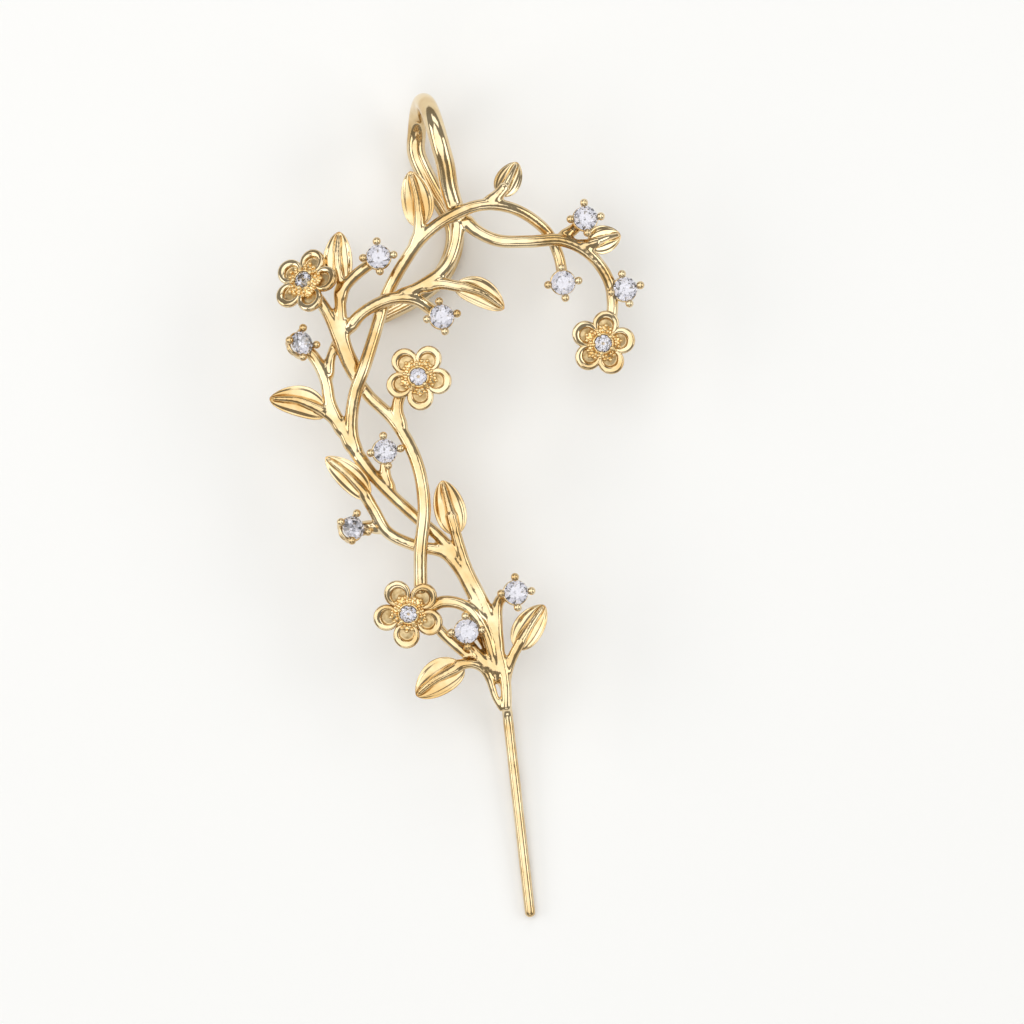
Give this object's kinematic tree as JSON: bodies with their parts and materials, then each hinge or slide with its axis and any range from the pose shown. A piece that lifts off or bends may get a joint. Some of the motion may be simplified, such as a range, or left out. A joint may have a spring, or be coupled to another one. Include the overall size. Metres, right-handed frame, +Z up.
{
  "type": "ear cuff",
  "caption": "Cast vine ear cuff with leaves, flowers and claw-set round stones, a wire hook for the ear's rim and a pin for the lobe.",
  "frame": {"origin": "under the middle of the piece, on the surface that it lies on", "axes": "+Z up out of the vine's face, +Y along the vine from the pin towards the hook, +X to the wearer's face side"},
  "size_m": [0.032, 0.0704, 0.0102],
  "materials": {
    "gold": "pale gold plating, polished, over cast brass",
    "crystal": "clear cubic zirconia, brilliant cut, polished"
  },
  "bodies": {
    "root": {"gold_vine": "gold", "stone_a": "crystal", "stone_b": "crystal", "stone_c": "crystal", "stone_d": "crystal", "stone_e": "crystal", "stone_f": "crystal", "stone_g": "crystal", "stone_h": "crystal", "stone_i": "crystal", "stone_j": "crystal", "flower_stone_1": "crystal", "flower_stone_2": "crystal", "flower_stone_3": "crystal", "flower_stone_4": "crystal"}
  },
  "joints": []
}
